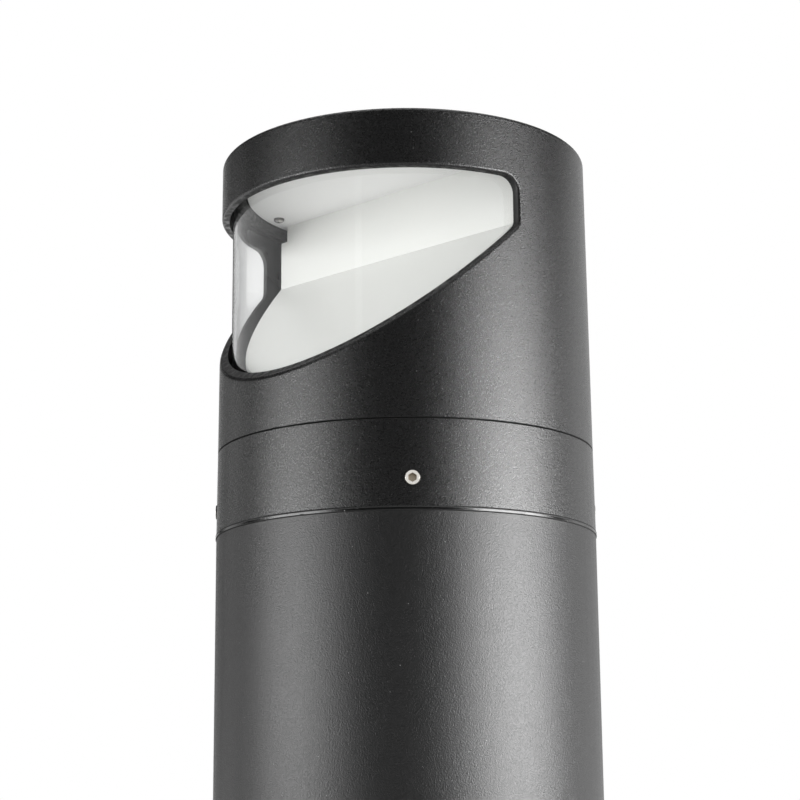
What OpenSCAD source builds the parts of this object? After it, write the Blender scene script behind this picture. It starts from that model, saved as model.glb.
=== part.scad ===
// Bollard light: a round column with a turning head. The head is a cast shell with a sloped
// window, a clear sleeve behind it, and a white reflector under a flat diffuser.
// The origin is the centre of the base's underside, +Z is up, and the window faces -Y.

/* [Column] */
// Outer diameter of the column, collar and base
column_d = 200; // [200:1:220]
// Overall height from the ground to the top of the head
total_h = 1000; // [850:10:1400]
// Wall of the extruded column
tube_wall = 3; // [2.5:0.25:3.5]
// Thickness of the black ring between the column and the collar
gasket_t = 2.5; // [1.5:0.1:3]
// Height of the collar that carries the clamp screws
collar_h = 43.2; // [38:0.1:60]
// Height of the clamp screws above the collar's lower edge
clamp_screw_h = 13.5; // [10:0.1:20]

/* [Head] */
// Height of the cast head above the collar
head_h = 160; // [160:1:200]
// How much the head's radius shrinks up to its top
head_draft = 0.8; // [0:0.05:1]
// Inner radius of the cast head
head_bore_r = 95; // [94.8:0.05:95.5]
// Thickness of the head's top
head_top_t = 4; // [3:0.25:6]
// Radius of the rounded edge round the head's top
head_edge_r = 2; // [0.5:0.1:3]
// Thickness of the recessed seal between head and collar
shell_seal_t = 0.8; // [0.3:0.1:1]

/* [Window] */
// Upright edge of the window, in front of the axis
window_back = 17.9; // [15:0.1:25]
// Top of the window above the collar
window_top = 129.2; // [126:0.1:131]
// Height of the window's sloped edge where it would cross the axis
window_sill = 120.5; // [118:0.1:122]
// Slope of the window's lower edge, in degrees
window_slope = 43; // [41:0.5:44]
// Corner radius at the top of the upright edge
window_top_r = 8.5; // [4:0.5:10]
// Corner radius at the foot of the upright edge
window_foot_r = 7; // [4:0.5:10]

/* [Optics] */
// Outer radius of the clear sleeve
lens_r = 93; // [92.5:0.1:93.4]
// Wall of the clear sleeve
lens_wall = 2; // [1.5:0.25:2.5]
// Radius of the reflector and the diffuser
optic_r = 85.5; // [84.5:0.1:86]
// Underside of the diffuser above the collar
diffuser_h = 143.5; // [142:0.1:144]
// Upright face of the reflector, in front of the axis
reflector_y = 13; // [12:0.5:15]
// Height of the bend in the reflector, above the collar
reflector_bend_h = 107.2; // [104:0.1:108]
// Slope of the reflector's lower leaf, in degrees
reflector_slope = 46.4; // [45:0.1:47]
// Thickness of the reflector sheet
reflector_t = 1.5; // [1:0.25:2]

/* [Base] */
// Thickness of the base disc
base_t = 8; // [6:0.5:12]
// Diameter of the circle of anchor holes
anchor_pcd = 140; // [130:1:146]
// Radius of the anchor holes
anchor_hole_r = 5.5; // [4.5:0.5:6.5]
// Radius of the cable entry in the base
cable_entry_r = 30; // [20:1:32]

/* [Hidden] */

$fn = 96;
eps = 0.01;
four = [0, 90, 180, 270];

// Levels
column_r = column_d / 2;
seam_z = total_h - head_h;
collar_z = seam_z - collar_h;
column_top_z = collar_z - gasket_t;
head_top_r = column_r - 0.35 - head_draft;
head_foot_r = column_r - 0.35;
shell_z = seam_z + shell_seal_t / 2;
collar_top_z = seam_z - shell_seal_t / 2;
head_roof_z = total_h - head_top_t;
diffuser_z = seam_z + diffuser_h;
diffuser_t = 2;
diffuser_top_z = diffuser_z + diffuser_t;

// Cast rib under the roof that holds the diffuser and centres the sleeve
rib_in_r = optic_r + 0.7;
rib_out_r = lens_r - lens_wall - 0.6;
rib_z = seam_z + 138.5;
rib_bevel = 2;

// Bosses and screws under the roof
diffuser_screw_r = 77.1;
diffuser_screw_angles = [-160.4, -19.6, 19.6, 160.4];
boss_r = 4;
tie_points = [[-72, -4], [72, -4], [-36, 60], [36, 60]];
tie_boss_r = 5.5;
tie_boss_z = head_roof_z - 14;
tie_screw_r = 2.5;

// Light source
led_pad_r = 56;
led_pad_t = 1.5;
led_board_r = 55;
led_board_t = 1.6;
led_board_z = head_roof_z - led_pad_t - led_board_t;
led_chip = [3, 3, 0.7];
led_rings = [[14, 6], [29, 12], [44, 18]];
led_screw_r = 50;
led_screw_angles = [50, 130, 230, 310];

// Sleeve and its seals
lens_z = seam_z + 2;
lens_top_z = head_roof_z - 2.5;
lens_rim_h = 9;

// Collar flange
collar_bore_r = 94;
flange_t = 6;
flange_in_r = 30;
flange_z = collar_top_z - flange_t;

// Clamp screws: set screws that bear on the spigot
clamp_z = collar_z + clamp_screw_h;
clamp_r = 3.9;
clamp_hole_r = 4;
clamp_angles = [45, 135, 225, 315];
clamp_key = 4;
clamp_bevel = 0.4;
clamp_in_r = collar_bore_r;
clamp_out_r = column_r + 0.5;

// Spigot on the column, the head's bearing
running_gap = 0.05;
gasket_swell = 0.4;
gasket_edge = 0.5;
spigot_r = collar_bore_r - running_gap;
spigot_wall = 5;
spigot_top_z = flange_z - running_gap;
spigot_disc_t = 6;
port_top_z = column_top_z - 10;
spigot_disc_top_z = port_top_z + spigot_disc_t;
spigot_hole_r = 10.1;

// Screw ports inside the column
tube_in_r = column_r - tube_wall;
port_r = 82;
port_boss_r = 5;
port_hole_r = 2.1;
port_web = 4;

// Base
base_ring_out_r = tube_in_r - 0.2;
base_ring_in_r = 90;
base_ring_h = 34;
side_screw_z = 26;
side_screw_r = 3;
side_head_r = 5.2;
side_head_t = 3.1;
side_key = 4;

// Control gear in the column
tray_t = 2;
tray_y = 20;
tray_w = 80;
tray_h = 310;
tray_top_z = port_top_z;
tray_lip = 26;
tray_screw_xs = [-25, 25];
tray_screw_y = tray_y + 14;
driver_size = [60, 32, 165];
driver_top_z = tray_top_z - 50;
driver_z = driver_top_z - driver_size[2];
driver_ear_h = 12;
driver_ear_t = 2;
box_size = [66, 34, 54];
box_top_z = driver_z - 28;
box_z = box_top_z - box_size[2];
box_wall = 2.5;
box_lid_t = 3;
lid_y = tray_y - box_size[1] - box_lid_t;
box_screw_in = 5;
strip_size = [40, 14, 18];
gland_r = 9;
gland_bore_r = 5;
gland_h = 22;

// Leads and the connector on the axis
lead_r = 3.5;
plug_r = 10;
plug_h = 24;
socket_h = 26;
socket_z = port_top_z - 4;
plug_z = socket_z + socket_h;
lead_y = 30;

// Earth stud
earth_point = [0, 50];
earth_r = 3;

// Reflector and its bracket
reflector_left_x = 79.5;
reflector_right_x = 84.3;
reflector_tip_r = lens_r - lens_wall - 0.7;
reflector_tip_x = 75;
reflector_tip_w = 41;
reflector_notch_h = 9;
stud_xs = [-40, 40];
stud_z = seam_z + 120;
stud_r = 1.5;
bracket_t = 2;
bracket_y = reflector_t - reflector_y;
bracket_w = 104;
bracket_foot = 26;
foot_screw_points = [[-42, bracket_y + 17], [42, bracket_y + 17]];

// Screw positions on the gear, as [x, z]
driver_screw_points = [
    for (x = [-20, 20], z = [driver_z - driver_ear_h / 2, driver_top_z + driver_ear_h / 2]) [x, z]
];
box_screw_points = [
    for (sx = [-1, 1], z = [box_z + box_screw_in, box_top_z - box_screw_in])
        [sx * (box_size[0] / 2 - box_screw_in), z]
];

// A disc between two levels
module disc(r, z0, z1) {
    translate([0, 0, z0]) cylinder(r = r, h = z1 - z0);
}

// A drafted disc between two levels
module cone(r0, r1, z0, z1) {
    translate([0, 0, z0]) cylinder(r1 = r0, r2 = r1, h = z1 - z0);
}

// A ring between two levels
module ring(r_out, r_in, z0, z1) {
    difference() {
        disc(r_out, z0, z1);
        disc(r_in, z0 - 1, z1 + 1);
    }
}

// An upright round bar
module bar(p, r, z0, z1) {
    translate([p[0], p[1], z0]) cylinder(r = r, h = z1 - z0, $fn = 32);
}

// A round bar along Y, at p = [x, z]
module bar_y(p, r, y0, y1) {
    translate([p[0], y0, p[1]]) rotate([-90, 0, 0]) cylinder(r = r, h = y1 - y0, $fn = 32);
}

// A box given by its low corner and its size
module block(low, size) {
    translate(low) cube(size);
}

// A point at a radius and an angle
function polar(r, a) = [r * cos(a), r * sin(a)];

// Turns a screw drawn along +Z, head up, so that it points out along the radius
module radial(a, r, z) {
    rotate([0, 0, a]) translate([r, 0, z]) rotate([0, 90, 0]) children();
}

// Hexagonal key socket going down from z = 0
module key_socket(width, depth) {
    translate([0, 0, -depth]) cylinder(d = width / cos(30), h = depth + 1, $fn = 6);
}

// Cross recess going down from z = 0
module cross_recess(width, depth) {
    for (a = [0, 90])
        rotate([0, 0, a]) translate([-width / 2, -width / 8, -depth]) cube([width, width / 4, depth + 1]);
}

// Pan-head screw: the shank goes down from z = 0, the head, a short rim and a dome, is above it
module pan_screw(r, length, head_r, head_t) {
    dome_t = head_t * 0.6;
    dome_r = (head_r * head_r + dome_t * dome_t) / (2 * dome_t);
    difference() {
        union() {
            translate([0, 0, -length]) cylinder(r = r, h = length + eps, $fn = 24);
            intersection() {
                translate([0, 0, head_t - dome_r]) sphere(r = dome_r, $fn = 48);
                cylinder(r = head_r, h = head_t, $fn = 48);
            }
        }
        translate([0, 0, head_t]) cross_recess(head_r * 1.15, head_t * 0.7);
    }
}

// Socket screw with a flat head above z = 0
module socket_screw(r, length, head_r, head_t, key) {
    difference() {
        union() {
            translate([0, 0, -length]) cylinder(r = r, h = length + eps, $fn = 32);
            cylinder(r = head_r, h = head_t - 0.5, $fn = 48);
            translate([0, 0, head_t - 0.5 - eps]) cylinder(r1 = head_r, r2 = head_r - 0.5, h = 0.5, $fn = 48);
        }
        translate([0, 0, head_t]) key_socket(key, head_t * 0.65);
    }
}

// Hexagon nut standing on z = 0
module hex_nut(width, height, hole_r) {
    difference() {
        cylinder(d = width / cos(30), h = height, $fn = 6);
        translate([0, 0, -1]) cylinder(r = hole_r, h = height + 2, $fn = 32);
    }
}

// Outline of the window seen from the side: u runs forward, v runs up from the collar
module window_outline() {
    reach = column_r + 20;
    top_c = [window_back + window_top_r, window_top - window_top_r];
    foot_u = window_back + window_foot_r;
    foot_c = [foot_u, window_sill - tan(window_slope) * foot_u + window_foot_r / cos(window_slope)];
    foot_t = foot_c - window_foot_r * [sin(window_slope), cos(window_slope)];
    translate(top_c) circle(r = window_top_r);
    translate(foot_c) circle(r = window_foot_r);
    polygon([
        [window_back, foot_c[1]],
        foot_t,
        [reach, window_sill - tan(window_slope) * reach],
        [reach, window_top],
        [top_c[0], window_top],
        [window_back, top_c[1]]
    ]);
}

// Stands an outline drawn as (forward, up) across the head, above the collar
module across(width) {
    translate([-width / 2, 0, seam_z]) rotate([90, 0, 90]) linear_extrude(width) mirror([1, 0]) children();
}

// Cast shell: drafted wall, roof, sleeve rib, light-source pad and screw bosses
module head_shell() {
    color("dimgray") difference() {
        union() {
            difference() {
                union() {
                    cone(head_foot_r, head_top_r, shell_z, total_h - head_edge_r);
                    rotate_extrude() {
                        translate([0, total_h - head_edge_r - eps])
                            square([head_top_r - head_edge_r, head_edge_r + eps]);
                        translate([head_top_r - head_edge_r, total_h - head_edge_r]) circle(r = head_edge_r);
                    }
                }
                disc(head_bore_r, shell_z - 1, head_roof_z);
                across(3 * column_r) window_outline();
            }
            difference() {
                disc(rib_out_r, rib_z, head_roof_z + eps);
                disc(rib_in_r, rib_z - 1, head_roof_z);
                cone(rib_in_r + rib_bevel, rib_in_r, rib_z - eps, rib_z + rib_bevel);
            }
            disc(led_pad_r, head_roof_z - led_pad_t, head_roof_z + eps);
            for (a = diffuser_screw_angles)
                bar(polar(diffuser_screw_r, a), boss_r, diffuser_top_z, head_roof_z + eps);
            for (p = tie_points)
                bar(p, tie_boss_r, tie_boss_z, head_roof_z + eps);
        }
        for (a = diffuser_screw_angles)
            bar(polar(diffuser_screw_r, a), 1.5, diffuser_top_z - 1, diffuser_top_z + 8);
        for (p = tie_points)
            bar(p, tie_screw_r, tie_boss_z - 1, tie_boss_z + 12);
        for (a = led_screw_angles)
            bar(polar(led_screw_r, a), 1.5, head_roof_z - led_pad_t - 1, head_roof_z + 2);
    }
}

// Thin seal set back in the joint between the head and the collar
module shell_seal() {
    color("black") ring(head_foot_r - 1.1, head_bore_r, collar_top_z, shell_z);
}

// Clear sleeve behind the window
module lens() {
    color([0.85, 0.9, 0.92, 0.4]) ring(lens_r, lens_r - lens_wall, lens_z, lens_top_z);
}

// Flat silicone ring between the sleeve and the roof
module lens_top_seal() {
    color("black") ring(lens_r + 0.5, lens_r - lens_wall - 0.5, lens_top_z, head_roof_z);
}

// Silicone ring under the sleeve
module lens_bottom_seal() {
    color("black") ring(lens_r + 0.5, lens_r - lens_wall - 0.3, collar_top_z, lens_z);
}

// Translucent disc below the light source, with a hole for the lead
module diffuser() {
    color("lavender") difference() {
        disc(optic_r, diffuser_z, diffuser_top_z);
        for (a = diffuser_screw_angles)
            bar(polar(diffuser_screw_r, a), 1.7, diffuser_z - 1, diffuser_top_z + 1);
        for (p = tie_points)
            bar(p, tie_boss_r + 0.5, diffuser_z - 1, diffuser_top_z + 1);
        bar([0, lead_y], 6, diffuser_z - 1, diffuser_top_z + 1);
    }
}

// Pan-head screws that hold the diffuser
module diffuser_screws() {
    color("silver") for (a = diffuser_screw_angles)
        translate(concat(polar(diffuser_screw_r, a), diffuser_z))
            rotate([180, 0, 30]) pan_screw(1.5, 8, 3, 2.3);
}

// Round aluminium-core board
module led_board() {
    color("white") difference() {
        disc(led_board_r, led_board_z, led_board_z + led_board_t);
        for (a = led_screw_angles)
            bar(polar(led_screw_r, a), 1.6, led_board_z - 1, led_board_z + led_board_t + 1);
    }
}

// Light-emitting packages in three rings under the board
module led_chips() {
    color("gold") for (row = led_rings)
        for (i = [0 : row[1] - 1])
            rotate([0, 0, (i + 0.5) * 360 / row[1]])
                translate([row[0] - led_chip[0] / 2, -led_chip[1] / 2, led_board_z - led_chip[2]])
                    cube(led_chip);
}

// Screws that hold the board to its pad
module led_board_screws() {
    color("silver") for (a = led_screw_angles)
        translate(concat(polar(led_screw_r, a), led_board_z))
            rotate([180, 0, 0]) pan_screw(1.5, 4.5, 2.8, 1.7);
}

// Rubber grommet in the diffuser, around the lead
module lead_grommet() {
    color("black") translate([0, lead_y, 0]) difference() {
        union() {
            disc(6, diffuser_z - 0.5, diffuser_top_z + 0.5);
            disc(8, diffuser_z - 1.5, diffuser_z);
            disc(8, diffuser_top_z, diffuser_top_z + 1.5);
        }
        disc(lead_r, diffuser_z - 3, diffuser_top_z + 3);
    }
}

// Folded white sheet: an upright leaf and a sloped leaf, both trimmed to the optic's circle.
// On the right both leaves run on to the sleeve. Two studs stand on the upright leaf's back.
module reflector() {
    half_w = optic_r + 5;
    back = reflector_y - reflector_t;
    front = optic_r + 1;
    drop = (front - reflector_y) * tan(reflector_slope);
    leaf_v = reflector_t / cos(reflector_slope);
    bend_back = reflector_t * tan((90 - reflector_slope) / 2);
    color("white") difference() {
        intersection() {
            union() {
                disc(optic_r, seam_z, diffuser_z);
                intersection() {
                    disc(reflector_tip_r, seam_z, diffuser_z);
                    block([reflector_tip_x, -reflector_tip_w, seam_z], [half_w, reflector_tip_w, diffuser_h]);
                }
            }
            across(2 * half_w) polygon([
                [reflector_y, diffuser_h],
                [reflector_y, reflector_bend_h],
                [front, reflector_bend_h - drop],
                [front, reflector_bend_h - drop - leaf_v],
                [back, reflector_bend_h - bend_back],
                [back, diffuser_h]
            ]);
        }
        for (x = [-half_w - reflector_left_x, reflector_right_x])
            block([x, -reflector_y - 5, diffuser_z - reflector_notch_h], [half_w, 30, 12]);
    }
    color("silver") for (x = stud_xs)
        bar_y([x, stud_z], stud_r, -back - eps, -back + 8);
}

// Nuts that hold the reflector to its bracket
module reflector_nuts() {
    color("silver") for (x = stud_xs)
        translate([x, bracket_y + bracket_t, stud_z]) rotate([-90, 0, 0]) hex_nut(5.5, 2.4, stud_r);
}

// Folded steel bracket that stands on the collar flange and carries the reflector
module reflector_bracket() {
    top_z = stud_z + 10;
    color("gainsboro") difference() {
        union() {
            block([-bracket_w / 2, bracket_y, collar_top_z], [bracket_w, bracket_t, top_z - collar_top_z]);
            block([-bracket_w / 2, bracket_y, collar_top_z], [bracket_w, bracket_foot, bracket_t]);
        }
        for (x = stud_xs)
            bar_y([x, stud_z], stud_r + 0.1, bracket_y - 1, bracket_y + bracket_t + 1);
        block([-22, bracket_y + 8, collar_top_z - 1], [44, bracket_foot, bracket_t + 2]);
        for (p = foot_screw_points)
            bar(p, 2.2, collar_top_z - 1, collar_top_z + bracket_t + 1);
    }
}

// Screws that hold the bracket's feet to the collar flange
module bracket_screws() {
    color("silver") for (p = foot_screw_points)
        translate([p[0], p[1], collar_top_z + bracket_t]) pan_screw(2, 7, 3.6, 2.4);
}

// Long screws that pull the collar, the sleeve and the shell together
module tie_screws() {
    color("silver") for (p = tie_points)
        translate([p[0], p[1], flange_z])
            rotate([180, 0, 0]) socket_screw(tie_screw_r, tie_boss_z + 11 - flange_z, 4.25, 5, 4);
}

// Collar: drafted ring, bearing bore, top flange, sleeve rim and tapped holes
module collar() {
    rim_r = lens_r - lens_wall - 0.5;
    color("dimgray") difference() {
        union() {
            difference() {
                cone(column_r, head_foot_r, collar_z, collar_top_z);
                disc(collar_bore_r, collar_z - 1, flange_z);
            }
            disc(rim_r, collar_top_z - eps, collar_top_z + lens_rim_h);
        }
        disc(rim_r - 3, collar_top_z, collar_top_z + lens_rim_h + 1);
        disc(flange_in_r, flange_z - 1, collar_top_z + 1);
        for (a = clamp_angles)
            radial(a, collar_bore_r - 2, clamp_z) cylinder(r = clamp_hole_r, h = 12, $fn = 48);
        for (p = tie_points)
            bar(p, tie_screw_r + 0.2, flange_z - 1, collar_top_z + 1);
        for (p = foot_screw_points)
            bar(p, 2, flange_z - 1, collar_top_z + 1);
    }
}

// Set screws with a key socket, in the collar
module clamp_screws() {
    length = clamp_out_r - clamp_in_r;
    color("silver") for (a = clamp_angles)
        radial(a, clamp_in_r, clamp_z) difference() {
            union() {
                cylinder(r = clamp_r, h = length - clamp_bevel, $fn = 48);
                translate([0, 0, length - clamp_bevel - eps])
                    cylinder(r1 = clamp_r, r2 = clamp_r - clamp_bevel, h = clamp_bevel + eps, $fn = 48);
            }
            translate([0, 0, length]) key_socket(clamp_key, 3.5);
        }
}

// A round lead swept along its route: one ring of points at each station
module swept_lead(route, r) {
    sides = 10;
    last = len(route) - 1;
    ring_points = [
        for (i = [0 : last])
            let (
                d = route[min(i + 1, last)] - route[max(i - 1, 0)],
                t = d / norm(d),
                n = [1, 0, 0],
                b = cross(t, n)
            )
            for (k = [0 : sides - 1])
                route[i] + r * (n * cos(k * 360 / sides) + b * sin(k * 360 / sides))
    ];
    side_faces = [
        for (i = [0 : last - 1])
            for (k = [0 : sides - 1])
                [
                    i * sides + k,
                    i * sides + (k + 1) % sides,
                    (i + 1) * sides + (k + 1) % sides,
                    (i + 1) * sides + k
                ]
    ];
    foot_cap = [[for (k = [sides - 1 : -1 : 0]) k]];
    head_cap = [[for (k = [0 : sides - 1]) last * sides + k]];
    polyhedron(ring_points, concat(foot_cap, side_faces, head_cap));
}

// Lead from the plug up behind the reflector to the board
function lead_route() = let (
        start_z = plug_z + plug_h,
        bend_z = start_z + 15,
        bend_h = 80,
        steps = 14
    )
    concat(
        [[0, 0, start_z]],
        [
            for (i = [0 : steps])
                [0, lead_y * (1 - cos(i * 180 / steps)) / 2, bend_z + bend_h * i / steps]
        ],
        [[0, lead_y, led_board_z]]
    );

module head_lead() {
    color("black") swept_lead(lead_route(), lead_r);
}

// Plug on the axis: it turns with the head
module lead_plug() {
    neck = 8;
    color("black") {
        disc(plug_r, plug_z + running_gap, plug_z + plug_h - neck);
        cone(plug_r, lead_r + 1.5, plug_z + plug_h - neck - eps, plug_z + plug_h);
    }
}

// Socket on the axis: it is held in the spigot's floor
module lead_socket() {
    color("black") {
        disc(plug_r, socket_z, plug_z);
        disc(plug_r + 4, spigot_disc_top_z, spigot_disc_top_z + 2.5);
    }
}

// Lead from the driver straight up to the socket
module post_lead() {
    color("black") bar([0, 0], lead_r, driver_top_z, socket_z);
}

// Spigot: bearing ring, floor that rests on the screw ports, and its holes
module spigot() {
    color("silver") difference() {
        union() {
            disc(tube_in_r - 0.2, port_top_z, spigot_disc_top_z);
            ring(spigot_r, spigot_r - spigot_wall, spigot_disc_top_z - eps, spigot_top_z);
        }
        disc(spigot_hole_r, port_top_z - 1, spigot_disc_top_z + 1);
        for (a = four)
            bar(polar(port_r, a), 2.7, port_top_z - 1, spigot_disc_top_z + 1);
        for (x = tray_screw_xs)
            bar([x, tray_screw_y], 2, port_top_z - 1, spigot_disc_top_z + 1);
    }
}

// Screws that hold the spigot to the column's ports
module spigot_screws() {
    color("silver") for (a = four)
        translate(concat(polar(port_r, a), spigot_disc_top_z)) pan_screw(2, 22, 4.5, 3);
}

// Black rubber ring with rounded outer edges, between column and collar
module column_gasket() {
    h = gasket_t - running_gap;
    corner_r = column_r + gasket_swell - gasket_edge;
    color("black") translate([0, 0, column_top_z]) rotate_extrude() {
        translate([spigot_r + 0.5, 0]) square([corner_r - spigot_r - 0.5, h]);
        translate([corner_r - eps, gasket_edge]) square([gasket_edge + eps, h - 2 * gasket_edge]);
        for (z = [gasket_edge, h - gasket_edge])
            translate([corner_r, z]) circle(r = gasket_edge);
    }
}

// Extruded column with four screw ports inside
module column_tube() {
    web_reach = tube_in_r + 0.5 - port_r;
    color("dimgray") difference() {
        union() {
            ring(column_r, tube_in_r, base_t, column_top_z);
            for (a = four)
                rotate([0, 0, a]) {
                    bar([port_r, 0], port_boss_r, base_t, port_top_z);
                    block([port_r, -port_web / 2, base_t], [web_reach, port_web, port_top_z - base_t]);
                }
        }
        for (a = four)
            bar(polar(port_r, a), port_hole_r, base_t - 1, port_top_z + 1);
        for (a = clamp_angles)
            radial(a, tube_in_r - 5, side_screw_z) cylinder(r = side_screw_r + 0.3, h = 12, $fn = 32);
    }
}

// Folded tray that hangs under the spigot and carries the control gear
module gear_tray() {
    color("gainsboro") difference() {
        union() {
            block([-tray_w / 2, tray_y, tray_top_z - tray_h], [tray_w, tray_t, tray_h]);
            block([-tray_w / 2, tray_y, tray_top_z - tray_t], [tray_w, tray_lip, tray_t]);
        }
        for (x = tray_screw_xs)
            bar([x, tray_screw_y], 2.2, tray_top_z - tray_t - 1, tray_top_z + 1);
        for (p = driver_screw_points)
            bar_y(p, 1.5, tray_y - 1, tray_y + tray_t + 1);
    }
}

// Screws that hold the tray to the spigot's floor
module gear_tray_screws() {
    color("silver") for (x = tray_screw_xs)
        translate([x, tray_screw_y, tray_top_z - tray_t]) rotate([180, 0, 0]) pan_screw(2, 7, 3.6, 2.4);
}

// Potted driver with a fixing ear at each end
module driver() {
    w = driver_size[0];
    d = driver_size[1];
    color("whitesmoke") difference() {
        union() {
            block([-w / 2, tray_y - d, driver_z], driver_size);
            block([-w / 2, tray_y - driver_ear_t, driver_z - driver_ear_h],
                  [w, driver_ear_t, driver_size[2] + 2 * driver_ear_h]);
        }
        for (p = driver_screw_points)
            bar_y(p, 1.7, tray_y - driver_ear_t - 1, tray_y + 1);
    }
}

// Screws through the driver's ears
module driver_screws() {
    color("silver") for (p = driver_screw_points)
        translate([p[0], tray_y - driver_ear_t, p[1]]) rotate([90, 0, 0]) pan_screw(1.5, 5, 2.8, 1.7);
}

// Terminal box: an open shell that its lid closes
module terminal_box() {
    w = box_size[0];
    d = box_size[1];
    h = box_size[2];
    color("gray") difference() {
        union() {
            difference() {
                block([-w / 2, tray_y - d, box_z], box_size);
                block([-w / 2 + box_wall, tray_y - d - 1, box_z + box_wall],
                      [w - 2 * box_wall, d + 1 - box_wall, h - 2 * box_wall]);
            }
            for (p = box_screw_points)
                bar_y(p, box_screw_in - 0.5, tray_y - d, tray_y - box_wall);
        }
        for (p = box_screw_points)
            bar_y(p, 1.5, tray_y - d - 1, tray_y - d + 14);
        bar([0, 0], lead_r, box_top_z - box_wall - 1, box_top_z + 1);
        bar([0, 0], gland_r - 2.5, box_z - 1, box_z + box_wall + 1);
    }
}

// Lid of the terminal box
module terminal_lid() {
    w = box_size[0];
    h = box_size[2];
    color("gray") difference() {
        block([-w / 2, lid_y, box_z], [w, box_lid_t, h]);
        for (p = box_screw_points)
            bar_y(p, 1.6, lid_y - 1, lid_y + box_lid_t + 1);
    }
}

// Screws that hold the lid
module terminal_lid_screws() {
    color("silver") for (p = box_screw_points)
        translate([p[0], lid_y, p[1]]) rotate([90, 0, 0]) pan_screw(1.5, 14, 2.8, 1.7);
}

// Three-way terminal strip inside the box, with its wire holes
module terminal_strip() {
    w = strip_size[0];
    h = strip_size[2];
    z = (box_z + box_top_z - h) / 2;
    color("ivory") difference() {
        block([-w / 2, tray_y - box_wall - strip_size[1], z], strip_size);
        for (i = [-1, 0, 1])
            bar([i * w / 3, tray_y - box_wall - strip_size[1] / 2], 2, z - 1, z + h + 1);
    }
}

// Cable gland under the terminal box: body, hexagon and domed nut round one bore
module cable_gland() {
    color("gray") difference() {
        union() {
            disc(gland_r - 2.6, box_z - 1, box_z + box_wall + 4);
            translate([0, 0, box_z - 5]) cylinder(r = gland_r + 1, h = 5, $fn = 6);
            disc(gland_r, box_z - gland_h + 6, box_z - 4);
            cone(gland_r - 3, gland_r, box_z - gland_h, box_z - gland_h + 6 + eps);
        }
        disc(gland_bore_r, box_z - gland_h - 1, box_z + box_wall + 6);
    }
}

// Lead from the terminal box up to the driver
module mains_lead() {
    color("black") bar([0, 0], lead_r, box_top_z - box_wall, driver_z);
}

// Cast base: disc, ring inside the column, anchor holes and cable entry
module base_flange() {
    slot_w = port_web + 2;
    color("silver") difference() {
        union() {
            disc(column_r, 0, base_t);
            difference() {
                ring(base_ring_out_r, base_ring_in_r, base_t - eps, base_t + base_ring_h);
                for (a = four)
                    rotate([0, 0, a]) block([base_ring_in_r - 5, -slot_w / 2, base_t], [20, slot_w, 60]);
            }
        }
        disc(cable_entry_r, -1, base_t + 1);
        for (a = clamp_angles) {
            bar(polar(anchor_pcd / 2, a), anchor_hole_r, -1, base_t + 1);
            radial(a, base_ring_in_r - 2, side_screw_z) cylinder(r = side_screw_r, h = 12, $fn = 32);
        }
        bar(earth_point, earth_r, base_t - 5, base_t + 1);
    }
}

// Screws that hold the column to the base ring
module base_side_screws() {
    color("silver") for (a = clamp_angles)
        radial(a, column_r, side_screw_z)
            socket_screw(side_screw_r, column_r - base_ring_in_r, side_head_r, side_head_t, side_key);
}

// Earth stud in the base
module earth_stud() {
    color("goldenrod") bar(earth_point, earth_r, base_t - 5, base_t + 22);
}

// Nuts on the earth stud
module earth_nuts() {
    color("goldenrod") for (z = [base_t, base_t + 9])
        translate([earth_point[0], earth_point[1], z]) hex_nut(10, 5, earth_r);
}

head_shell();
shell_seal();
lens();
lens_top_seal();
lens_bottom_seal();
diffuser();
diffuser_screws();
led_board();
led_chips();
led_board_screws();
lead_grommet();
reflector();
reflector_bracket();
reflector_nuts();
bracket_screws();
tie_screws();
collar();
clamp_screws();
head_lead();
lead_plug();
lead_socket();
post_lead();
spigot();
spigot_screws();
column_gasket();
column_tube();
gear_tray();
gear_tray_screws();
driver();
driver_screws();
terminal_box();
terminal_lid();
terminal_strip();
terminal_lid_screws();
cable_gland();
mains_lead();
base_flange();
base_side_screws();
earth_stud();
earth_nuts();
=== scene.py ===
"""Looks for the bollard light: camera, studio, materials and fine detail round the CAD frame."""
import math

import bpy
from mathutils import Matrix, Vector


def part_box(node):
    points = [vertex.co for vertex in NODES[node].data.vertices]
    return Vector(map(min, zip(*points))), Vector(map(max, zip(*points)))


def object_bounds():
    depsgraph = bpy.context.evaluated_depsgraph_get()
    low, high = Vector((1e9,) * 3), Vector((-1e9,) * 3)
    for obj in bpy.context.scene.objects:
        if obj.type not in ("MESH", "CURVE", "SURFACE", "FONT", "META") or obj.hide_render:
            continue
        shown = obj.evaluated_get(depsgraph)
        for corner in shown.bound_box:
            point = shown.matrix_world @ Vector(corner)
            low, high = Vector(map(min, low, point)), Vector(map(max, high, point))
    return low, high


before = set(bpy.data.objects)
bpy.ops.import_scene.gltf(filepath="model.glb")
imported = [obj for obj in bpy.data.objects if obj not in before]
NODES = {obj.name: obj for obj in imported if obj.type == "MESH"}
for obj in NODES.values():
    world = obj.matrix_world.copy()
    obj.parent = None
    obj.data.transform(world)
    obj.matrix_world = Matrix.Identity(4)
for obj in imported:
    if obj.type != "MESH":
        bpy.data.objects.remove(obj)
cad_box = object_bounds()

# ---------------------------------------------------------------- camera
WINDOW_TO_CAMERA = math.radians(43.1)   # the camera stands this far round from the window's front
CAMERA_REACH = 1.0294                   # from the column's axis
CAMERA_BELOW_TOP = 0.363
CAMERA_PITCH = 0.223706
CAMERA_YAW = -0.00256
CAMERA_ROLL = -0.008267
FOCAL_OVER_WIDTH = 2.45495
SENSOR = 36.0


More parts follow.
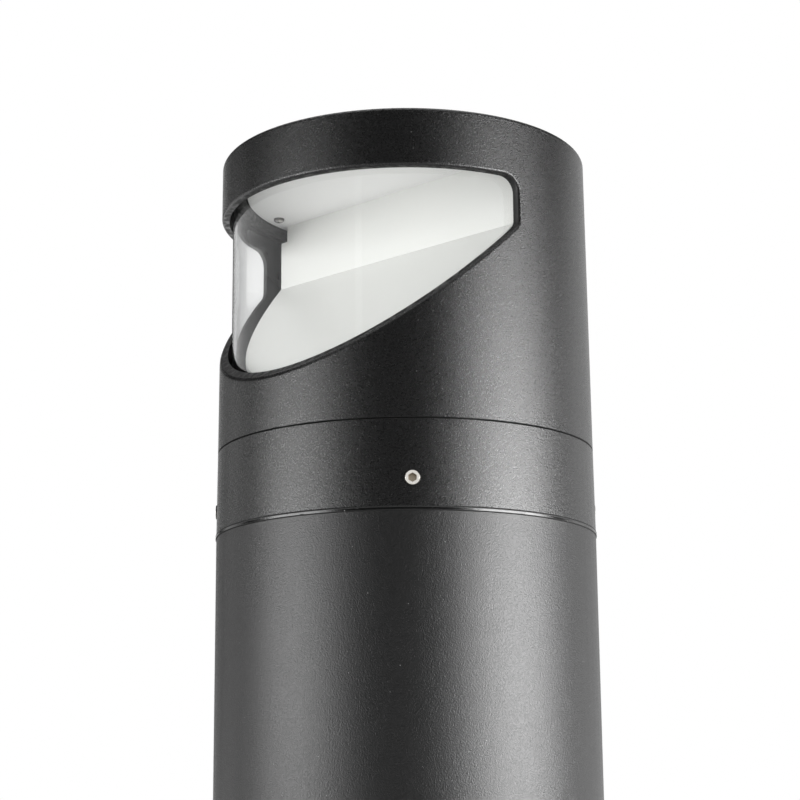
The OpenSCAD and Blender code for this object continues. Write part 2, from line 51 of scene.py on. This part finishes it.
def make_camera():
    """A camera below the head, looking up at it across one corner of the window."""
    top = cad_box[1][2]
    forward = Vector((
        math.sin(CAMERA_YAW) * math.cos(CAMERA_PITCH),
        math.cos(CAMERA_YAW) * math.cos(CAMERA_PITCH),
        math.sin(CAMERA_PITCH),
    ))
    right = forward.cross(Vector((0, 0, 1))).normalized()
    up = right.cross(forward)
    cos_r, sin_r = math.cos(CAMERA_ROLL), math.sin(CAMERA_ROLL)
    axes = (cos_r * right + sin_r * up, cos_r * up - sin_r * right, -forward)
    turn = Matrix([[axes[c][r] for c in range(3)] for r in range(3)]).to_4x4()
    place = Matrix.Translation((0, -CAMERA_REACH, top - CAMERA_BELOW_TOP)) @ turn
    data = bpy.data.cameras.new("camera")
    data.sensor_width = SENSOR
    data.lens = FOCAL_OVER_WIDTH * SENSOR
    data.clip_start = 0.01
    camera = bpy.data.objects.new("camera", data)
    bpy.context.scene.collection.objects.link(camera)
    camera.matrix_world = Matrix.Rotation(WINDOW_TO_CAMERA, 4, "Z") @ place
    bpy.context.scene.camera = camera


make_camera()


# ---------------------------------------------------------------- studio
FLOOR_SIZE = 40
WORLD_LIGHT = 0.03
FACING_UP = 90            # tilt of a light that points straight up
FACING_DOWN = -90


def area_light(name, bearing, reach, height, size, power, tilt=0.0):
    """A softbox that faces the column, or up or down by its tilt.

    The bearing is measured from the camera, to its right."""
    data = bpy.data.lights.new(name, "AREA")
    data.shape = "RECTANGLE"
    data.size, data.size_y = size
    data.energy = power
    light = bpy.data.objects.new(name, data)
    bpy.context.scene.collection.objects.link(light)
    angle = WINDOW_TO_CAMERA + math.radians(bearing)
    light.location = (reach * math.sin(angle), -reach * math.cos(angle), height)
    light.rotation_euler = (math.radians(90 + tilt), 0, angle)
    light.visible_camera = False
    return light


def light_only(name, pieces, *lights):
    """Makes the lights fall on these pieces and nothing else."""
    lit = bpy.data.collections.new(name)
    for piece in pieces:
        lit.objects.link(piece)
    for light in lights:
        light.light_linking.receiver_collection = lit


def make_floor():
    """A pale paper floor."""
    bpy.ops.mesh.primitive_plane_add(size=FLOOR_SIZE, location=(0, 0, 0))
    floor = bpy.context.object
    floor.name = "floor"
    paper = bpy.data.materials.new("floor_paper")
    paper.use_nodes = True
    shader = paper.node_tree.nodes["Principled BSDF"]
    shader.inputs["Base Color"].default_value = (0.8, 0.8, 0.8, 1)
    shader.inputs["Roughness"].default_value = 0.9
    floor.data.materials.append(paper)
    return floor


def make_lights(floor):
    """Softboxes at both sides and behind, and a light of its own for what they reach badly."""
    boxes = [
        area_light("softbox_left", -66, 1.6, 0.84, (1.2, 0.82), 27),
        area_light("softbox_right", 63, 1.6, 0.84, (1.4, 0.82), 69),
        area_light("edge_left", -125, 1.8, 0.8, (0.8, 1.6), 3.5),
        area_light("edge_right", 118, 1.8, 0.8, (0.7, 1.6), 5.5),
        area_light("backdrop_glow", 168, 2.2, 1.0, (3.4, 2.4), 20),
        area_light("floor_glow", 180, 2.6, 0.03, (4.0, 2.6), 30, FACING_UP),
    ]
    fill = area_light("window_fill", -40, 1.4, 0.4, (0.8, 0.8), 6.5)
    light_only("lit_by_boxes", [node for name, node in NODES.items() if name != "lens"], *boxes)
    NODES["lens"].visible_shadow = False

    wash = bpy.data.lights.new("floor_wash", "SUN")
    wash.energy = 2.6
    wash.angle = math.radians(60)
    overhead = bpy.data.objects.new("floor_wash", wash)
    bpy.context.scene.collection.objects.link(overhead)
    light_only("ground", [floor], overhead)

    glint = area_light("screw_glint", 4, 1.4, 1.2, (0.6, 0.6), 1.4)
    light_only("screws", [NODES["clamp_screws"]], glint)
    streak = area_light("lens_streak", -28.6, 1.4, 1.45, (0.11, 0.9), 0.07)
    light_only("sleeve", [NODES["lens"]], streak)
    light_only("optics", [NODES[name] for name in ("reflector", "diffuser", "diffuser_screws")], fill)
    top_glow = area_light("top_glow", 180, 0.0, 3.0, (3.0, 3.0), 45, FACING_DOWN)
    light_only("roof", [NODES["head_shell"]], top_glow)


def make_surround():
    """A world that looks white, also through the clear sleeve, and gives only a little light."""
    world = bpy.data.worlds.new("surround")
    bpy.context.scene.world = world
    world.use_nodes = True
    nodes, links = world.node_tree.nodes, world.node_tree.links
    path = nodes.new("ShaderNodeLightPath")
    seen = nodes.new("ShaderNodeMath")
    seen.operation = "MAXIMUM"
    links.new(path.outputs["Is Camera Ray"], seen.inputs[0])
    links.new(path.outputs["Is Transmission Ray"], seen.inputs[1])
    lit = nodes["Background"]
    lit.inputs["Color"].default_value = (1, 1, 1, 1)
    lit.inputs["Strength"].default_value = WORLD_LIGHT
    shown = nodes.new("ShaderNodeBackground")
    shown.inputs["Color"].default_value = (1, 1, 1, 1)
    shown.inputs["Strength"].default_value = 1.0
    mix = nodes.new("ShaderNodeMixShader")
    links.new(seen.outputs[0], mix.inputs[0])
    links.new(lit.outputs[0], mix.inputs[1])
    links.new(shown.outputs[0], mix.inputs[2])
    links.new(mix.outputs[0], nodes["World Output"].inputs["Surface"])


bpy.context.scene.view_settings.view_transform = "Standard"
make_lights(make_floor())
make_surround()


# ---------------------------------------------------------------- surface
HEAD_DRAFT = 0.0008       # how much the head's radius shrinks up to its rounded top edge
HEAD_EDGE = 0.002         # radius of that edge
WINDOW_EDGE = 0.0015      # rounding of the window's outer edge
ON_SURFACE = 0.00008      # how far a point may be off the round face and still belong to it
OUTER_FROM = 0.084        # radius beyond which every round face gets exact normals
SHARP_TURN = 30           # degrees by which an edge of the window's cut turns, at least


class Tree:
    """A node tree with a small set of helpers."""

    def __init__(self, tree):
        self.tree = tree

    def node(self, kind, *inputs, **settings):
        """A node whose enabled inputs, in order, are sockets of other nodes or plain values."""
        made = self.tree.nodes.new(kind)
        for setting, value in settings.items():
            setattr(made, setting, value)
        for socket, value in zip([s for s in made.inputs if s.enabled], inputs):
            if isinstance(value, bpy.types.NodeSocket):
                self.tree.links.new(value, socket)
            else:
                socket.default_value = value
        return made

    def math(self, operation, *inputs):
        """One number from one or two numbers."""
        return self.node("ShaderNodeMath", *inputs, operation=operation).outputs[0]

    def vector(self, operation, *inputs, out="Vector"):
        """One vector, or a number, from vectors."""
        return self.node("ShaderNodeVectorMath", *inputs, operation=operation).outputs[out]


def geometry_group(name):
    """A geometry node group, and the geometry that comes into it."""
    tree = bpy.data.node_groups.new(name, "GeometryNodeTree")
    for way in ("INPUT", "OUTPUT"):
        tree.interface.new_socket("Geometry", in_out=way, socket_type="NodeSocketGeometry")
    group = Tree(tree)
    return group, group.node("NodeGroupInput").outputs[0]


def smooth_by_angle(limit):
    """Shading over every edge that turns less than the limit."""
    group, entry = geometry_group("smooth_by_angle")
    angle = group.node("GeometryNodeInputMeshEdgeAngle").outputs["Unsigned Angle"]
    sharp = group.math("GREATER_THAN", angle, math.radians(limit))
    shaded = group.node("GeometryNodeSetMeshNormal", entry, True, sharp, mode="SHARPNESS")
    group.node("NodeGroupOutput", shaded.outputs["Mesh"])
    return group.tree


def round_normals(name, aligned_limit, on_face):
    """Exact shading normals on the round faces about the column's axis, also across their seams.

    aligned_limit says how near to the radius a normal must point, and on_face(group, radius, height)
    where the faces are."""
    group, entry = geometry_group(name)
    place = group.node("GeometryNodeInputPosition").outputs[0]
    normal = group.node("GeometryNodeInputNormal", legacy_corner_normals=False).outputs[0]
    flat = group.vector("MULTIPLY", place, (1, 1, 0))
    radial = group.vector("NORMALIZE", flat)
    rise = group.vector("MULTIPLY", normal, (0, 0, 1))
    level = group.vector("LENGTH", group.vector("MULTIPLY", normal, (1, 1, 0)), out="Value")
    along = group.vector("DOT_PRODUCT", normal, radial, out="Value")
    share = group.math("DIVIDE", group.math("ABSOLUTE", along), level)
    aligned = group.math("GREATER_THAN", share, aligned_limit)
    radius = group.vector("LENGTH", flat, out="Value")
    height = group.vector("DOT_PRODUCT", place, (0, 0, 1), out="Value")
    found, rise, level = on_face(group, radius, height, rise, level)
    use = group.math("MULTIPLY", aligned, found)
    sized = group.math("MULTIPLY", level, group.math("SIGN", along))
    outward = group.node("ShaderNodeVectorMath", radial, sized, operation="SCALE").outputs[0]
    exact = group.vector("ADD", outward, rise)
    off = group.vector("SUBTRACT", exact, normal)
    step = group.node("ShaderNodeVectorMath", off, use, operation="SCALE")
    chosen = group.vector("ADD", normal, step.outputs[0])
    shaded = group.node("GeometryNodeSetMeshNormal", mode="FREE", domain="CORNER")
    group.tree.links.new(entry, shaded.inputs["Mesh"])
    group.tree.links.new(chosen, shaded.inputs["Custom Normal"])
    group.node("NodeGroupOutput", shaded.outputs["Mesh"])
    return group.tree


def any_outer_face(group, radius, height, rise, level):
    """Every round face near the outside, with the slope that it has."""
    return group.math("GREATER_THAN", radius, OUTER_FROM), rise, level


def head_outer_face(group, radius, height, rise, level):
    """The head's drafted outside."""
    found, slope = on_head_face(group, radius, height)
    return found, (0, 0, slope), 1.0


def add_group(name, tree):
    """Puts a geometry node group on a CAD node as a modifier."""
    NODES[name].modifiers.new(tree.name, "NODES").node_group = tree


def on_head_face(group, radius, height):
    """1 on the head's drafted outside, 0 elsewhere, and how that face slopes."""
    low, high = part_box("head_shell")
    slope = HEAD_DRAFT / (high[2] - HEAD_EDGE - low[2])
    fall = group.math("MULTIPLY", group.math("SUBTRACT", height, low[2]), slope)
    off = group.math("SUBTRACT", group.math("SUBTRACT", high[0], fall), radius)
    near = group.math("LESS_THAN", group.math("ABSOLUTE", off), ON_SURFACE)
    below_edge = group.math("LESS_THAN", height, high[2] - HEAD_EDGE + ON_SURFACE)
    return group.math("MULTIPLY", near, below_edge), slope


def window_edges():
    """Marks for the bevel the edges where the window cuts the head's outside."""
    group, entry = geometry_group("window_edges")
    place = group.node("GeometryNodeInputPosition").outputs[0]
    radius = group.vector("LENGTH", group.vector("MULTIPLY", place, (1, 1, 0)), out="Value")
    height = group.vector("DOT_PRODUCT", place, (0, 0, 1), out="Value")
    angle = group.node("GeometryNodeInputMeshEdgeAngle").outputs["Unsigned Angle"]
    found, _ = on_head_face(group, radius, height)
    low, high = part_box("head_shell")
    above_foot = group.math("GREATER_THAN", height, low[2] + WINDOW_EDGE)
    below_top = group.math("LESS_THAN", height, high[2] - 2 * HEAD_EDGE)
    turned = group.math("GREATER_THAN", angle, math.radians(SHARP_TURN))
    on_wall = group.math("MULTIPLY", group.math("MULTIPLY", found, above_foot), below_top)
    marked = group.math("MULTIPLY", on_wall, turned)
    stored = group.node("GeometryNodeStoreNamedAttribute", data_type="FLOAT", domain="EDGE")
    group.tree.links.new(entry, stored.inputs["Geometry"])
    stored.inputs["Name"].default_value = "bevel_weight_edge"
    group.tree.links.new(marked, stored.inputs["Value"])
    group.node("NodeGroupOutput", stored.outputs["Geometry"])
    return group.tree


def round_window(name, width):
    """Rounds the window's outer edge: seams welded, flat faces joined up, then a bevel."""
    weld = NODES[name].modifiers.new("weld", "WELD")
    weld.merge_threshold = 1e-6
    flat = NODES[name].modifiers.new("join_flat", "DECIMATE")
    flat.decimate_type = "DISSOLVE"
    flat.angle_limit = math.radians(0.3)
    add_group(name, window_edges())
    bevel = NODES[name].modifiers.new("round_window", "BEVEL")
    bevel.width = width
    bevel.segments = 4
    bevel.limit_method = "WEIGHT"
    bevel.use_clamp_overlap = False


exact_rounds = round_normals("exact_rounds", 0.99, any_outer_face)
for round_name in ("shell_seal", "lens", "lens_top_seal", "lens_bottom_seal", "diffuser", "collar",
                   "spigot", "column_gasket", "column_tube", "base_flange"):
    add_group(round_name, exact_rounds)
round_window("head_shell", WINDOW_EDGE)
add_group("head_shell", smooth_by_angle(28))
add_group("head_shell", round_normals("exact_head", 0.7, head_outer_face))


# ---------------------------------------------------------------- materials
SLANT = (math.radians(45), math.radians(35.3), 0)
INSIDES = (0.0978, 0.0985)      # radii between which the castings' insides give way to the outside
GAP_WIDTH = 0.002               # width of the painted shadow in the gap round the diffuser
GAP_RISE = (0.0012, 0.0006)     # how far below the diffuser its painted shadow starts and is full
JOINT_FADE = (0.00005, 0.00015)  # how far the joint's painted shadow reaches over the castings' edges
RING_PITCH = 12000              # turning rings, in radians per metre
TRACK_PITCH = 1250              # copper tracks, in radians per metre


class Material(Tree):
    """A Principled material whose patterns are laid out in the part's own coordinates, in metres."""

    def __init__(self, name, color, roughness, metallic=0.0):
        self.material = bpy.data.materials.new(name)
        self.material.use_nodes = True
        super().__init__(self.material.node_tree)
        self.shader = self.tree.nodes["Principled BSDF"]
        self.shader.inputs["Base Color"].default_value = (*color, 1)
        self.shader.inputs["Roughness"].default_value = roughness
        self.shader.inputs["Metallic"].default_value = metallic
        self.coords = self.tree.nodes.new("ShaderNodeTexCoord").outputs["Object"]
        turned = self.node("ShaderNodeMapping", self.coords)
        turned.inputs["Rotation"].default_value = SLANT
        # No lattice plane of a pattern lies along an upright face in these.
        self.slanted = turned.outputs["Vector"]

    def set(self, socket, value):
        """Sets a socket that is the same all over the surface."""
        self.shader.inputs[socket].default_value = value

    def drive(self, socket, value):
        """Feeds a pattern into one of the shader's sockets."""
        self.tree.links.new(value, self.shader.inputs[socket])

    def noise(self, scale, detail=2.0, rough=0.5, stretch=(1, 1, 1)):
        """Noise with scale cycles per metre, drawn out along an axis by a small stretch."""
        place = self.slanted if stretch == (1, 1, 1) else self.vector("MULTIPLY", self.coords, stretch)
        made = self.node("ShaderNodeTexNoise")
        self.tree.links.new(place, made.inputs["Vector"])
        for socket, value in (("Scale", scale), ("Detail", detail), ("Roughness", rough)):
            made.inputs[socket].default_value = value
        return made.outputs["Fac"]

    def cells(self, scale, output="Distance"):
        """Voronoi cells with scale cells per metre."""
        made = self.node("ShaderNodeTexVoronoi")
        self.tree.links.new(self.slanted, made.inputs["Vector"])
        made.inputs["Scale"].default_value = scale
        return made.outputs[output]

    def specks(self, spacing, radius):
        """1 in small round specks, 0 elsewhere."""
        return self.remap(self.cells(1 / spacing), 0.5 * radius / spacing, radius / spacing, 1, 0)

    def radius(self):
        """Distance from the column's axis."""
        return self.vector("LENGTH", self.vector("MULTIPLY", self.coords, (1, 1, 0)), out="Value")

    def sideways(self):
        """Distance from the nearest of the two upright planes that hold the axes of the clamp screws."""
        half = math.sqrt(0.5)
        offs = [
            self.vector("DOT_PRODUCT", self.coords, (half, way, 0), out="Value")
            for way in (half, -half)
        ]
        return self.math("MINIMUM", *(self.math("ABSOLUTE", off) for off in offs))

    def height(self):
        """Height above the ground."""
        return self.vector("DOT_PRODUCT", self.coords, (0, 0, 1), out="Value")

    def remap(self, value, low, high, out_low, out_high):
        """A value range turned into another, and held at its ends."""
        return self.node("ShaderNodeMapRange", value, low, high, out_low, out_high).outputs["Result"]

    def mix(self, factor, first, second):
        """A colour between two colours."""
        colors = [c if isinstance(c, bpy.types.NodeSocket) else (*c, 1) for c in (first, second)]
        made = self.node("ShaderNodeMix", factor, *colors, data_type="RGBA")
        return [socket for socket in made.outputs if socket.enabled][0]

    def bump(self, height, strength, distance):
        """Lays a bump over whatever already shapes the normal."""
        made = self.node("ShaderNodeBump")
        made.inputs["Strength"].default_value = strength
        made.inputs["Distance"].default_value = distance
        self.tree.links.new(height, made.inputs["Height"])
        socket = self.shader.inputs["Normal"]
        if socket.is_linked:
            self.tree.links.new(socket.links[0].from_socket, made.inputs["Normal"])
        self.tree.links.new(made.outputs["Normal"], socket)


def powder_coat(name="powder_coat", roughness=0.29):
    """Fine-textured satin black powder coat, duller on the insides and the cut faces of the castings, with
    painted shade, black and matt, in the gap round the diffuser and over the castings' edges at the joint.
    """
    coat = Material(name, (0.003, 0.003, 0.003), roughness)
    top = cad_box[1][2]
    under_roof = coat.math("LESS_THAN", coat.height(), top - HEAD_EDGE)
    inner = coat.math("MULTIPLY", coat.remap(coat.radius(), *INSIDES, 1, 0), under_roof)
    diffuser_low, diffuser_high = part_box("diffuser")
    start, full = (diffuser_low[2] - rise for rise in GAP_RISE)
    beside_diffuser = coat.math(
        "MULTIPLY",
        coat.math("LESS_THAN", coat.radius(), diffuser_high[0] + GAP_WIDTH),
        coat.remap(coat.height(), start, full, 0, 1),
    )
    gap = coat.math("MULTIPLY", beside_diffuser, under_roof)
    joint_low, joint_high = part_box("shell_seal")
    middle = (joint_low[2] + joint_high[2]) / 2
    half = (joint_high[2] - joint_low[2]) / 2
    from_joint = coat.math("ABSOLUTE", coat.math("SUBTRACT", coat.height(), middle))
    joint = coat.remap(from_joint, half + JOINT_FADE[0], half + JOINT_FADE[1], 1, 0)
    # Painted shade: black, matt bands in the gap round the diffuser and over the castings' edges beside
    # the joint.
    dark = coat.math("MAXIMUM", gap, joint)
    draw_marks = coat.remap(coat.noise(260, 2, 0.5, (1, 1, 0.04)), 0.4, 0.62, 0.45, 0.1)
    grain = coat.noise(1900, 2, 0.6)
    peel = coat.noise(1400, 0.5, 0.5)
    black = coat.mix(coat.remap(peel, 0.35, 0.65, 0, 1), (0.0018, 0.0018, 0.0018), (0.003, 0.003, 0.0031))
    dusty = coat.mix(coat.specks(0.0062, 0.00026), black, (0.2, 0.2, 0.2))
    coat.drive("Base Color", coat.mix(dark, dusty, (0, 0, 0)))
    shine = coat.remap(coat.noise(1200, 0.5), 0.35, 0.65, roughness - 0.035, roughness + 0.035)
    duller = coat.math("ADD", shine, coat.math("MULTIPLY", inner, draw_marks))
    coat.drive("Roughness", coat.math("MAXIMUM", duller, dark))
    coat.bump(peel, 0.32, 0.0003)
    coat.bump(grain, 0.5, 0.0003)
    return coat


def column_coat():
    """The same coat on the extruded tube, a little duller."""
    return powder_coat("column_coat", 0.37)


def clear_plastic():
    """Clear polycarbonate, with the faintest moulding ripple."""
    clear = Material("clear_plastic", (0.98, 0.99, 0.99), 0.02)
    clear.set("Transmission Weight", 1.0)
    clear.set("IOR", 1.58)
    clear.drive("Base Color", clear.mix(clear.noise(18, 2), (0.97, 0.98, 0.98), (1, 1, 1)))
    clear.drive("Roughness", clear.remap(clear.noise(35, 3), 0.45, 0.7, 0.0, 0.03))
    clear.bump(clear.noise(14, 1, 0.4, (1, 1, 0.12)), 0.12, 0.0006)
    return clear


def white_coat():
    """Satin white reflector coat with a little dust."""
    white = Material("white_coat", (0.665, 0.67, 0.648), 0.4)
    cloud = white.mix(white.noise(22, 3), (0.655, 0.66, 0.638), (0.675, 0.68, 0.658))
    white.drive("Base Color", white.mix(white.specks(0.011, 0.0003), cloud, (0.55, 0.55, 0.52)))
    white.drive("Roughness", white.remap(white.noise(90, 3), 0.3, 0.7, 0.36, 0.46))
    white.bump(white.noise(700, 2), 0.12, 0.0003)
    return white


def opal():
    """Opal diffuser: satin, softly mottled."""
    milky = Material("opal", (0.855, 0.855, 0.85), 0.45)
    cloud = milky.mix(milky.noise(30, 3), (0.84, 0.84, 0.837), (0.87, 0.87, 0.865))
    milky.drive("Base Color", milky.mix(milky.specks(0.013, 0.0003), cloud, (0.5, 0.5, 0.49)))
    milky.drive("Roughness", milky.remap(milky.noise(120, 2), 0.3, 0.7, 0.4, 0.52))
    milky.bump(milky.noise(1100, 2), 0.15, 0.0002)
    return milky


def metal(name, color, roughness, brushed=(1, 1, 1), pits=0.2):
    """Bare metal: uneven shine, fine tool marks and small dark pits."""
    made = Material(name, color, roughness, 1.0)
    dark = tuple(0.72 * c for c in color)
    marks = made.noise(900, 4, 0.6, brushed)
    made.drive("Base Color", made.mix(made.remap(marks, 0.3, 0.75, pits, 0), color, dark))
    made.drive("Roughness", made.remap(made.noise(300, 3), 0.3, 0.7, roughness - 0.07, roughness + 0.08))
    made.bump(marks, 0.15, 0.0002)
    return made


def steel():
    """Bright stainless steel of the screws and nuts."""
    return metal("stainless", (0.66, 0.64, 0.6), 0.27)


def socket_steel():
    """Stainless set screws: bright faces, dull brown inside the key sockets, and painted shadow, near
    black, round the rims.
    """
    made = metal("socket_steel", (0.66, 0.64, 0.6), 0.27)
    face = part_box("column_tube")[1][0]
    low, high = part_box("clamp_screws")
    inside = made.remap(made.radius(), face - 0.0010, face - 0.0002, 1, 0)
    rise = made.math("SUBTRACT", made.height(), (low[2] + high[2]) / 2)
    squares = [made.math("POWER", off, 2) for off in (made.sideways(), rise)]
    across = made.math("SQRT", made.math("ADD", *squares))
    half = (high[2] - low[2]) / 2
    # Painted shadow: a near-black band round the edge of each screw, where it meets its hole.
    rim_shade = made.remap(across, half - 0.0004, half - 0.0003, 0, 1)
    dull = made.mix(made.noise(800, 3), (0.32, 0.28, 0.22), (0.52, 0.46, 0.38))
    hollow = made.mix(inside, (0.66, 0.64, 0.6), dull)
    made.drive("Base Color", made.mix(rim_shade, hollow, (0.03, 0.028, 0.025)))
    made.drive("Roughness", made.remap(made.math("MAXIMUM", inside, rim_shade), 0, 1, 0.25, 0.5))
    return made


def recess_steel():
    """Small stainless screws: painted shade, dark, where the head meets the diffuser and in its cross."""
    made = metal("recess_steel", (0.5, 0.49, 0.47), 0.2)
    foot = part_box("diffuser_screws")[0][2]
    # Painted shade: dark steel where the head meets the diffuser and in its cross recess.
    rim_shade = made.remap(made.height(), foot + 0.0006, foot + 0.0012, 0, 1)
    made.drive("Base Color", made.mix(rim_shade, (0.52, 0.51, 0.49), (0.12, 0.11, 0.1)))
    return made


def bare_aluminium():
    """Raw casting with machined faces: turning rings about the axis."""
    made = metal("bare_aluminium", (0.6, 0.61, 0.62), 0.42, pits=0.5)
    rings = made.math("SINE", made.math("MULTIPLY", made.radius(), RING_PITCH))
    made.bump(rings, 0.1, 0.00005)
    return made


def zinc_steel():
    """Zinc-plated sheet with a faint spangle."""
    made = Material("zinc_steel", (0.55, 0.56, 0.58), 0.34, 1.0)
    spangle = made.cells(140, output="Color")
    share = made.math("MULTIPLY", spangle, 0.5)
    made.drive("Base Color", made.mix(share, (0.52, 0.53, 0.55), (0.62, 0.63, 0.65)))
    made.drive("Roughness", made.remap(spangle, 0, 1, 0.28, 0.42))
    made.bump(made.noise(600, 3), 0.1, 0.0002)
    return made


def brass():
    """Turned brass."""
    return metal("brass", (0.72, 0.55, 0.25), 0.28, (1, 1, 6))


def plastic(name, color, roughness, grain=900, relief=0.25, variation=0.06, specks=None):
    """Moulded plastic: slight colour variation, a fine texture and, if given, specks of another colour."""
    made = Material(name, color, roughness)
    light = tuple(min(1.0, (1 + variation) * c) for c in color)
    dark = tuple((1 - variation) * c for c in color)
    shade = made.mix(made.noise(60, 3), dark, light)
    if specks:
        shade = made.mix(made.specks(0.005, 0.0002), shade, specks)
    made.drive("Base Color", shade)
    uneven = made.noise(grain / 4, 3)
    made.drive("Roughness", made.remap(uneven, 0.3, 0.7, roughness - 0.06, roughness + 0.06))
    made.bump(made.noise(grain, 3), relief, 0.0003)
    return made


def rubber():
    """Matt black silicone with dust in its pores."""
    return plastic("black_rubber", (0.008, 0.008, 0.008), 0.55, 700, 0.35, 0.3, (0.12, 0.12, 0.12))


def joint_rubber():
    """Black sponge rubber in the joint between the castings, made dead black and nearly without shine as
    painted shade in the joint.
    """
    made = plastic("joint_rubber", (0.001, 0.001, 0.001), 0.9, 900, 0.3, 0.4)
    # Painted shade: the specular level is cut almost to nothing, so the joint reads as shadow.
    made.set("Specular IOR Level", 0.05)
    return made


def gloss_rubber():
    """Glossy black rubber ring with nicks and dust, with painted shade, black and matt, where it meets the
    collar and the column.
    """
    made = Material("gloss_rubber", (0.004, 0.004, 0.004), 0.17)
    low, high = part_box("column_gasket")
    # Painted shade: black, matt bands along the top, under the collar, and along the bottom, over the
    # column.
    above = made.remap(made.height(), high[2] - 0.0010, high[2] - 0.0004, 0, 1)
    below = made.remap(made.height(), low[2] + 0.0004, low[2] + 0.0006, 1, 0)
    nicks = made.remap(made.noise(170, 4, 0.7, (1, 1, 3)), 0.6, 0.7, 0, 1)
    seam_shade = made.math("MAXIMUM", above, below)
    dull = made.math("MAXIMUM", seam_shade, nicks)
    dusty = made.mix(made.specks(0.004, 0.00028), (0.003, 0.003, 0.003), (0.35, 0.35, 0.35))
    made.drive("Base Color", made.mix(seam_shade, dusty, (0, 0, 0)))
    made.drive("Roughness", made.remap(dull, 0, 1, 0.17, 1.0))
    made.bump(made.noise(420, 4, 0.7, (1, 1, 2)), 0.25, 0.0004)
    return made


def lead_sheath():
    """Rubber-sheathed lead."""
    return plastic("lead_sheath", (0.02, 0.02, 0.02), 0.5, 500, 0.35, 0.25)


def moulded_black():
    """Black moulded nylon."""
    return plastic("moulded_black", (0.02, 0.02, 0.021), 0.38, 1400, 0.3, 0.2)


def board_white():
    """White solder mask, with faint copper tracks under it."""
    made = Material("board_white", (0.85, 0.85, 0.84), 0.35)
    waves = made.math("SINE", made.math("MULTIPLY", made.radius(), TRACK_PITCH))
    tracks = made.remap(waves, 0.55, 0.7, 0, 1)
    made.drive("Base Color", made.mix(tracks, (0.84, 0.84, 0.83), (0.8, 0.79, 0.74)))
    made.drive("Roughness", made.remap(made.noise(400, 3), 0.3, 0.7, 0.3, 0.42))
    made.bump(tracks, 0.3, 0.00005)
    return made


def phosphor():
    """Yellow phosphor of the light-emitting packages."""
    return plastic("phosphor", (0.8, 0.6, 0.12), 0.4, 2500, 0.3, 0.12)


def driver_case():
    """Pale grey case of the driver."""
    return plastic("driver_case", (0.78, 0.78, 0.77), 0.42)


def box_grey():
    """Grey moulded terminal box."""
    return plastic("box_grey", (0.33, 0.34, 0.35), 0.45, 1100, 0.35)


def strip_ivory():
    """Ivory terminal strip."""
    return plastic("strip_ivory", (0.8, 0.77, 0.66), 0.4)


PAINTS = {
    powder_coat: ["head_shell", "collar"],
    column_coat: ["column_tube"],
    clear_plastic: ["lens"],
    white_coat: ["reflector"],
    opal: ["diffuser"],
    socket_steel: ["clamp_screws"],
    recess_steel: ["diffuser_screws"],
    steel: [
        "base_side_screws", "led_board_screws", "reflector_nuts", "bracket_screws", "tie_screws",
        "spigot_screws", "gear_tray_screws", "driver_screws", "terminal_lid_screws",
    ],
    rubber: ["lens_top_seal", "lens_bottom_seal", "lead_grommet"],
    joint_rubber: ["shell_seal"],
    gloss_rubber: ["column_gasket"],
    bare_aluminium: ["spigot", "base_flange"],
    zinc_steel: ["reflector_bracket", "gear_tray"],
    brass: ["earth_stud", "earth_nuts"],
    lead_sheath: ["head_lead", "post_lead", "mains_lead"],
    moulded_black: ["lead_plug", "lead_socket"],
    board_white: ["led_board"],
    phosphor: ["led_chips"],
    driver_case: ["driver"],
    box_grey: ["terminal_box", "terminal_lid", "cable_gland"],
    strip_ivory: ["terminal_strip"],
}
for build, names in PAINTS.items():
    made = build().material
    for name in names:
        for held in NODES[name].material_slots:
            held.material = made
